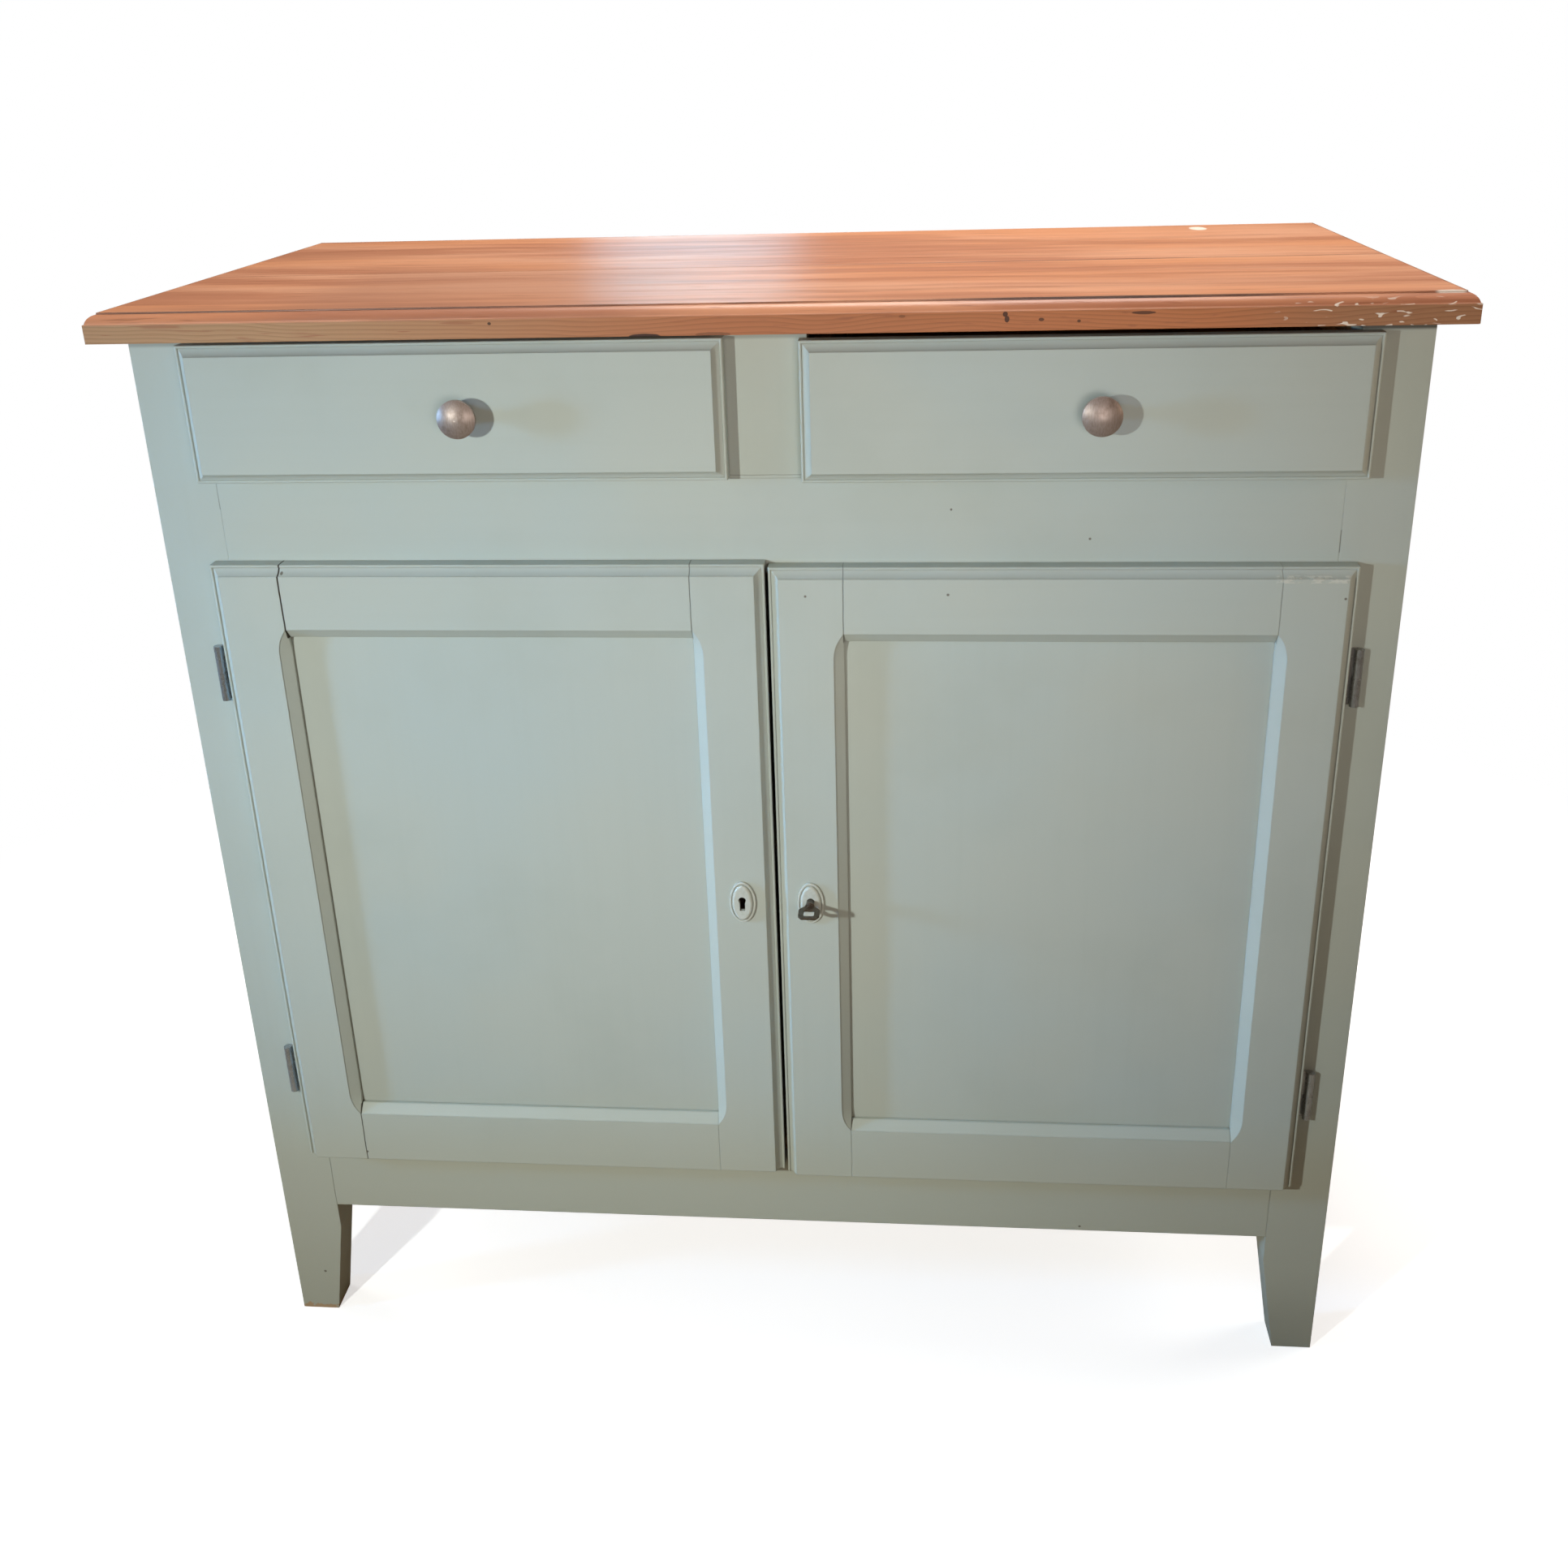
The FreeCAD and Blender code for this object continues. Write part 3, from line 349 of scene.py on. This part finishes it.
def spilt_strokes(place):
    """Thin curved strokes: contour lines of one noise, broken up by another."""
    lines = place.stretch((45.0, 90.0, 150.0)).noise(1.0, 0.0).line(0.5, 0.028, 0.014)
    return lines * place.stretch((70.0, 150.0, 190.0)).noise(1.0, 1.0).rise(0.54, 0.58)


def waxed(name, seed, heart):
    """Waxed plank: warm figure, dark joint line, painted shade in the quirk and on the moulding,
    browner moulded edge, spilt paint, a painted highlight and a painted dark reflection.
    """
    finish, shader, place, (x, y, z) = new_finish(name, Specular_IOR_Level=0.5)
    streaks, rings, pores = grain(place, "x", heart, seed, WAX_RINGS)
    rounded = rounded_edges(place, WAX_ROUND)[0]
    swayed = y + x * 0.05 + place.noise(2.2, 1.0) * 0.12
    bowed = place.node("ShaderNodeCombineXYZ", {}, x, swayed, z + seed)
    flames = bowed.stretch((2.2, 19.0, 19.0)).noise(1.0, 4.0, 0.55)
    patches = bowed.stretch((2.4, 8.0, 8.0)).noise(1.0, 3.0, 0.5)
    flecks = bowed.stretch((11.0, 260.0, 300.0)).noise(1.0, 2.0, 0.5).rise(0.61, 0.73)
    inset = (y - TOP_FRONT).least(TOP_END - abs(x))
    on_face = z.rise(TOP_Z - 0.002, TOP_Z - 0.001)
    on_edge = inset.rise(0.0011, 0.0006) * z.rise(TOP_Z - 0.007, TOP_Z - 0.0085)
    on_moulding = inset.rise(QUIRK_INSET + 0.0004, QUIRK_INSET - 0.0004) * (1 - on_edge)
    base = patches.rise(0.35, 0.65).over(WAX_LIGHT, WAX_ORANGE)
    base = (flames.rise(0.40, 0.64) * 0.9).over(base, WAX_MID)
    base = (streaks.rise(0.42, 0.75) * 0.4).over(base, WAX_MID)
    # Painted reflection: a duller, darker patch on the front left of the top, where the wax mirrors
    # something dark
    base = (x.within(-0.36, -0.14, 0.10) * y.rise(0.12, -0.08) * 0.45).over(base, WAX_DARK_REFLECTION)
    base = (rings * flames.rise(0.3, 0.6) * 0.4).over(base, WAX_DARK)
    # Painted shade: the moulding is darkened to take down the light it catches from the front lamps
    base = (on_moulding * 0.25).over(base, WAX_DARK)
    edge_tone = x.rise(0.0, 0.35).over(x.rise(-0.45, 0.0).over(EDGE_LEFT, EDGE_MIDDLE), EDGE_RIGHT)
    base = on_edge.over(base, x.rise(0.36, 0.50).over(edge_tone, EDGE_WORN))
    arched = place.shift((0.0, 0.0, seed)).stretch((4.5, 10.0, 10.0)).noise(1.0, 2.0, 0.5)
    arches = ((z + arched * 0.035) * 260.0).fraction() ** 3.0
    base = (on_edge * arches * 0.4).over(base, WAX_LINE)
    base = (flecks * 0.6).most(pores * 0.45).over(base, WAX_DARK)
    uneven = place.stretch((5.0, 40.0, 40.0)).noise(1.0, 3.0).rise(0.25, 0.6)
    # Painted shade in the quirk: a dark line along the step above the moulding, wider to the right
    # and fainter on the worn end
    quirk_half = 0.0002 + x.rise(-0.15, 0.25) * 0.0012
    worn = x.rise(0.40, 0.46)
    quirk = (abs(inset - QUIRK_INSET) - quirk_half).rise(0.0008, 0.0)
    quirk = quirk * z.rise(TOP_Z - 0.003, TOP_Z - 0.002)
    joint_slope = (JOINT_RIGHT - JOINT_LEFT) / (2 * TOP_END)
    joint_middle = (JOINT_LEFT + JOINT_RIGHT) / 2
    joint = (y - x * joint_slope).line(joint_middle, 0.0016, 0.0016) * on_face
    joint = joint * (0.25 + x.rise(-0.05, 0.20) * 0.5)
    # The plank joint is dark dirt; the quirk line is painted shade
    joint_dirt_and_quirk_shade = (quirk * (1 - worn * 0.6)).most(joint) * uneven * 0.9
    base = joint_dirt_and_quirk_shade.over(base, x.rise(0.0, 0.3).over(WAX_LINE, WAX_DIRT_AND_SHADE))
    # A light line along the lower arris of the moulding: worn wax and a painted highlight
    arris_wear_and_highlight = z.line(TOP_Z - MOULDING_DROP + 0.0002, 0.0004, 0.0005) * inset.rise(0.0035, 0.0020)
    base = (arris_wear_and_highlight * uneven * 0.55).over(base, WAX_LIGHT)
    ragged = place.noise(420.0, 3.0)
    for at, half_width, half_height, depth in KNOTS:
        mark = spot(x, z, at, half_width * KNOT_SPREAD, half_height * KNOT_SPREAD) - ragged
        mark = mark.rise(0.0, 0.2) * on_edge
        base = (mark * depth).over(base, WAX_DIRT_AND_SHADE)
    corner = x.rise(TOP_END - 0.170, TOP_END - 0.120) * y.rise(TOP_FRONT + 0.070, TOP_FRONT + 0.030)
    smears = spilt_strokes(place) * corner * inset.rise(0.006, 0.001)
    for at, half_width, half_height in SMEARS:
        smears = smears.most(spot(x, y, at, half_width, half_height) * on_face)
    base = (smears * 0.85).over(base, SPILT_PAINT)
    rough = 0.26 + streaks * 0.22 + pores * 0.1 + smears * 0.2 + on_edge * 0.3
    height = rings * 0.2 + streaks * 0.8 - pores * 0.5 + smears
    connect(shader, base, rough, height, WAX_RELIEF, rounded)
    return finish


def bare(name, along, seed, boards=None):
    """Unpainted old softwood inside and behind: pale figure, dusty, darker in places."""
    finish, shader, place, (x, y, z) = new_finish(name, Specular_IOR_Level=0.25)
    if boards:
        start, width, middle = boards
        lapped = y.rise(middle + 0.0002, middle) * BACK_LAP
        board = ((x - start - lapped) / width).floor()
        place = place.node("ShaderNodeCombineXYZ", {}, x - board * (width * 1.15), y + board * 0.3,
                           z + board * 0.71)
    streaks, rings, pores = grain(place, along, BARE_HEART, seed, BARE_RINGS)
    rounded, edge = rounded_edges(place, BARE_ROUND)
    base = streaks.rise(0.3, 0.7).over(BARE_PALE, BARE_DEEP)
    base = (rings * 0.35).over(base, BARE_RING)
    base = (place.noise(4.0, 4.0).rise(0.45, 0.75) * 0.35).over(base, BARE_DUST)
    base = (pores * 0.3).over(base, BARE_PORE)
    base = (edge * 0.3).over(base, BARE_EDGE)
    rough = 0.62 + streaks * 0.15 + pores * 0.1
    height = rings * 0.4 + streaks * 0.4 - pores * 0.5
    connect(shader, base, rough, height, BARE_RELIEF, rounded)
    return finish


def plate(name):
    """Keyhole plate under the same paint: thick in the groove, thin on the rim, with a painted
    highlight on the rim.
    """
    finish, shader, place, _ = new_finish(name, Specular_IOR_Level=0.45)
    rounded, edge = rounded_edges(place, PLATE_ROUND)
    thick = place.noise(160.0, 3.0)
    base = thick.rise(0.35, 0.7).over(PLATE_PAINT, PLATE_THICK)
    # Thin paint and a painted highlight on the rounded rim
    base = (edge * 0.55).over(base, PLATE_RIM_WEAR_AND_HIGHLIGHT)
    base = (place.noise(420.0, 3.0).rise(0.62, 0.72) * 0.4).over(base, SAGE_SHADE)
    connect(shader, base, 0.30 + thick * 0.14, thick, PLATE_RELIEF, rounded)
    return finish


def metal(name, bright, dull, stain, rubbed, rough_low, rough_span, metallic):
    """Worn metal: fine scratches, tarnish in patches, brighter on rubbed edges."""
    finish, shader, place, _ = new_finish(name, Metallic=metallic)
    rounded, edge = rounded_edges(place, METAL_ROUND)
    scratches = place.stretch((900.0, 900.0, 140.0)).noise(1.0, 3.0, 0.6)
    tarnish = place.noise(110.0, 4.0, 0.6)
    base = scratches.rise(0.35, 0.7).over(bright, dull)
    base = (tarnish.rise(0.48, 0.72) * 0.6).over(base, stain)
    base = (edge * 0.6).over(base, rubbed)
    rough = rough_low + tarnish * rough_span + scratches * 0.08
    connect(shader, base, rough, scratches + tarnish * 0.6, METAL_RELIEF, rounded)
    return finish


# Dark marks on the top's front edge: place (x, z), half sizes and depth of tone. A ragged rim eats
# into them, so they are laid out larger by the spread
KNOT_SPREAD = 1.3
KNOTS = (((0.2030, 1.0885), 0.0017, 0.0017, 0.9), ((0.2045, 1.0845), 0.0016, 0.0022, 0.9),
         ((0.232, 1.0838), 0.0018, 0.0011, 0.8), ((0.313, 1.0880), 0.0080, 0.0011, 0.8),
         ((-0.222, 1.0873), 0.0012, 0.0010, 0.9), ((-0.092, 1.0752), 0.0110, 0.0016, 1.0),
         ((-0.035, 1.0758), 0.0120, 0.0016, 0.4), ((0.120, 1.0880), 0.0022, 0.0010, 0.4),
         ((0.262, 1.0822), 0.0012, 0.0010, 0.8))
# Spilt paint on the top's face: place (x, y) and half sizes
SMEARS = (((0.435, 0.2525), 0.0095, 0.0180), ((0.5530, -0.2465), 0.0120, 0.0045))


def door_joints(door, depths):
    """A door's four stile and rail joints as lines, each with its half width and depth."""
    hinge_stile, meeting_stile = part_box(door + "_hinge_stile"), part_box(door + "_meeting_stile")
    inner = (min((corner[0] for corner in hinge_stile), key=abs),
             max((corner[0] for corner in meeting_stile), key=abs))
    lines = []
    for rail in ("top_rail", "bottom_rail"):
        low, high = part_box(door + "_" + rail)[LOW][2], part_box(door + "_" + rail)[HIGH][2]
        lines += [("up", x, low, high) for x in inner]
    return [line + depth for line, depth in zip(lines, depths)]


post_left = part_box("front_post_left")[HIGH][0]
post_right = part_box("front_post_right")[LOW][0]
mid_low, mid_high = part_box("mid_rail")[LOW][2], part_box("mid_rail")[HIGH][2]
apron_low, apron_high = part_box("apron")[LOW][2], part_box("apron")[HIGH][2]
muntin_low, muntin_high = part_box("drawer_muntin")[LOW][0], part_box("drawer_muntin")[HIGH][0]
# Open joints: direction, place, from, to, half width and depth of tone
frame_joints = [("up", post_left, mid_high - 0.028, mid_high, 0.0001, 0.5),
                ("up", post_right, mid_low + 0.017, mid_low + 0.036, 0.0002, 0.45),
                ("up", post_left, apron_low, apron_high, 0.0001, 0.35),
                ("up", post_right, apron_low, apron_high, 0.0003, 0.8),
                ("along", mid_high, muntin_low, muntin_high, 0.0001, 0.4)]
left_joints = door_joints("left_door",
                          ((0.0005, 1.0), (0.0002, 0.6), (0.0003, 0.8), (0.0001, 0.2)))
right_joints = door_joints("right_door",
                           ((0.0001, 0.3), (0.0002, 0.5), (0.0001, 0.2), (0.0001, 0.4)))
# Nail heads: place (x, z) and half size; heaped paint: from and to in x and in z
frame_nails = [((0.2813, 0.8924), 0.0012), ((0.1618, 0.9191), 0.0011),
               ((-0.5185, 0.0519), 0.0016), ((0.3026, 0.1500), 0.0014)]
left_nails = [((-0.4393, 0.2340), 0.0013), ((-0.4369, 0.8677), 0.0014)]
right_nails = [((0.4960, 0.8448), 0.0012), ((0.1595, 0.8485), 0.0013), ((0.0351, 0.8470), 0.0012)]
right_lumps = ((0.440, 0.497), (0.8592, 0.8640))

# Marks in the paint of each group of nodes
PAINTS = {"left_door": {"joints": left_joints, "nails": left_nails,
                        "keyhole": "left_door_escutcheon"},
          "right_door": {"joints": right_joints, "nails": right_nails, "lumps": right_lumps,
                         "keyhole": "right_door_escutcheon"},
          "plain": {},
          "frame": {"joints": frame_joints, "nails": frame_nails, "scuffed": True}}
# Planks of the top: finish, seed of its figure, and the heart line of its rings (y, z)
PLANKS = {"top_board_front": ("waxed_front_plank", 0.0, (-0.16, 1.02)),
          "top_board_back": ("waxed_back_plank", 4.3, (0.17, 0.99))}
# Metals: colour, scratches, tarnish, rubbed edges, least roughness and its span, how metallic
METALS = {"satin_nickel": ((162, 151, 145), (148, 136, 129), (122, 107, 98), (206, 200, 195),
                           0.36, 0.12, 0.65),
          "hinge_steel": ((166, 172, 175), (146, 151, 153), (116, 113, 108), (210, 215, 216),
                          0.16, 0.12, 0.65),
          "screw_steel": ((150, 146, 138), (122, 116, 106), (92, 74, 58), (188, 186, 180),
                          0.34, 0.22, 1.0),
          "dark_key": ((116, 108, 98), (92, 84, 75), (62, 54, 47), (150, 142, 132),
                       0.26, 0.20, 1.0)}
# Seeds of the bare wood's figure
BACK_SEED, BARE_SEED = 1.0, 2.0


def paint_group(name):
    """Which paint a node takes: its door's, the plain one, or the frame's."""
    if "_door_" in name:
        return name.split("_")[0] + "_door"
    return "plain" if "drawer_front" in name or "side_panel" in name else "frame"


ready = {}


def shared(make, name, *values, **marks):
    """A finish that several nodes share, made when its name is first asked for."""
    if name not in ready:
        ready[name] = make(name, *values, **marks)
    return ready[name]


for part in frame["record"]["subparts"]:
    name, kind = part["node"], part["material_slot"]
    low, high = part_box(name)
    sizes = [b - a for a, b in zip(low, high)]
    axis = "xyz"[sizes.index(max(sizes))]
    if kind == "sage_paint":
        group = paint_group(name)
        finish = shared(sage, f"sage_{group}_{axis}", axis, **PAINTS[group])
    elif name == "back_boards":
        middle = (low[1] + high[1]) / 2
        boards = (low[0], sizes[0] / BACK_BOARDS, middle)
        finish = bare("bare_back_boards", "z", BACK_SEED, boards)
    elif kind == "bare_wood":
        finish = shared(bare, "bare_wood_" + axis, axis, BARE_SEED)
    elif kind == "waxed_top":
        finish = waxed(*PLANKS[name])
    elif kind == "painted_plate":
        finish = shared(plate, kind)
    else:
        finish = shared(metal, kind, *METALS[kind])
    for slot in nodes[name].material_slots:
        slot.material = finish

scene = bpy.context.scene
scene.view_settings.view_transform = "Standard"

camera = bpy.data.objects.new("camera", bpy.data.cameras.new("camera"))
scene.collection.objects.link(camera)
turn = (Matrix.Rotation(math.radians(CAMERA_TURN), 4, "Z")
        @ Matrix.Rotation(math.radians(CAMERA_TILT), 4, "X")
        @ Matrix.Rotation(math.radians(CAMERA_ROLL), 4, "Y")
        @ Matrix.Rotation(math.radians(90), 4, "X"))
camera.matrix_world = Matrix.Translation((CAMERA_X, FACE_Y - CAMERA_AWAY, CAMERA_Z)) @ turn
camera.data.sensor_width = CAMERA_SENSOR
camera.data.lens = CAMERA_LENS
camera.data.shift_x = CAMERA_SHIFT_X
camera.data.shift_y = CAMERA_SHIFT_Y
camera.data.clip_start = CAMERA_NEAR
scene.camera = camera


def lamp(name, place, target, size, watts, rgb, spread=180.0, lights=True, shines=True):
    """A soft oval lamp turned to a target: lights matt surfaces, shines in glossy ones, or both."""
    data = bpy.data.lights.new(name, "AREA")
    data.shape = "ELLIPSE"
    data.size, data.size_y = size
    data.energy = watts
    data.color = rgb
    data.spread = math.radians(spread)
    made = bpy.data.objects.new(name, data)
    scene.collection.objects.link(made)
    made.location = place
    made.rotation_euler = (Vector(target) - Vector(place)).to_track_quat("-Z", "Y").to_euler()
    made.visible_camera = False
    made.visible_diffuse = lights
    made.visible_glossy = shines


lamp("window_front_left", (-0.9, FACE_Y - 1.35, 1.20), (0.05, FACE_Y, 0.23), (0.07, 0.07), 7.8,
     (0.95, 0.98, 0.92), spread=116.0)
lamp("soft_front", (0.35, FACE_Y - 1.2, 1.0), (0.065, FACE_Y, 0.94), (0.6, 0.4), 1.08,
     (1.0, 0.90, 0.84), spread=78.7)
lamp("window_left", (-2.6, FACE_Y - 0.62, 1.093), (0.5, FACE_Y, 0.54), (0.2, 0.5), 2.7,
     (0.28, 0.58, 1.0), spread=39.9)
lamp("lamp_right", (1.3, FACE_Y - 0.30, 1.15), (0.5, FACE_Y, 0.95), (0.3, 0.3), 0.4,
     (1.0, 0.76, 0.52), spread=90.0)
lamp("room_right", (2.2, 0.5, 1.3), (0.5, 0.0, 0.6), (1.0, 1.2), 13.0, (1.0, 0.98, 0.94))
lamp("room_left", (-2.2, 0.5, 1.3), (-0.5, 0.0, 0.6), (1.0, 1.2), 10.0, (0.95, 0.98, 1.0))
lamp("ceiling", (0.15, 0.2, 2.5), (0.15, 0.1, 1.0), (1.2, 1.0), 28.5, (1.0, 0.98, 0.95))
lamp("room_back", (0.3, 2.4, 1.5), (0.0, 0.28, 0.6), (1.2, 1.2), 17.0,
     (1.0, 0.98, 0.95), shines=False)
lamp("sheen_back", (-0.43, 2.4, 1.362), (-0.10, 0.08, 1.1), (0.54, 0.30), 2.4,
     (0.30, 0.75, 1.0), lights=False)

world = bpy.data.worlds.new("studio")
world.use_nodes = True
scene.world = world
path = world.node_tree.nodes.new("ShaderNodeLightPath")
seen = Value(world.node_tree, path.outputs["Is Camera Ray"])
mirrored = Value(world.node_tree, path.outputs["Is Glossy Ray"])
backdrop = world.node_tree.nodes["Background"]
world.node_tree.links.new(seen.over(ROOM_SHADE, WHITE).socket, backdrop.inputs["Color"])
strength = ROOM_LIGHT + seen * (1 - ROOM_LIGHT) + mirrored * MIRRORED_LIGHT
world.node_tree.links.new(strength.socket, backdrop.inputs["Strength"])


def pale_floor(reach):
    """White to the camera, keeps the shadow near the object and bounces a dull warm light."""
    mesh = bpy.data.meshes.new("floor")
    corners = [(-reach, -reach, 0), (reach, -reach, 0), (reach, reach, 0), (-reach, reach, 0)]
    mesh.from_pydata(corners, [], [(0, 1, 2, 3)])
    floor = bpy.data.objects.new("floor", mesh)
    scene.collection.objects.link(floor)
    finish, shader, place, (x, y, _) = new_finish(
        "pale_floor", Roughness=0.95, Specular_IOR_Level=0.0, Emission_Strength=1.0)
    tree = finish.node_tree
    far = (x ** 2.0 + y ** 2.0).rise(SHADOW_KEPT, SHADOW_GONE)
    tree.links.new(far.over(FLOOR_PALE, BLACK).socket, shader.inputs["Base Color"])
    tree.links.new(far.over(FLOOR_NEAR, WHITE).socket, shader.inputs["Emission Color"])
    dull = tree.nodes.new("ShaderNodeBsdfDiffuse")
    dull.inputs["Color"].default_value = FLOOR_BOUNCE
    path = tree.nodes.new("ShaderNodeLightPath")
    sockets = (path.outputs["Is Camera Ray"], dull.outputs[0], shader.outputs[0])
    mixed = place.node("ShaderNodeMixShader", {}, *[Value(tree, socket) for socket in sockets])
    tree.links.new(mixed.socket, tree.nodes["Material Output"].inputs["Surface"])
    mesh.materials.append(finish)


pale_floor(FLOOR_REACH)
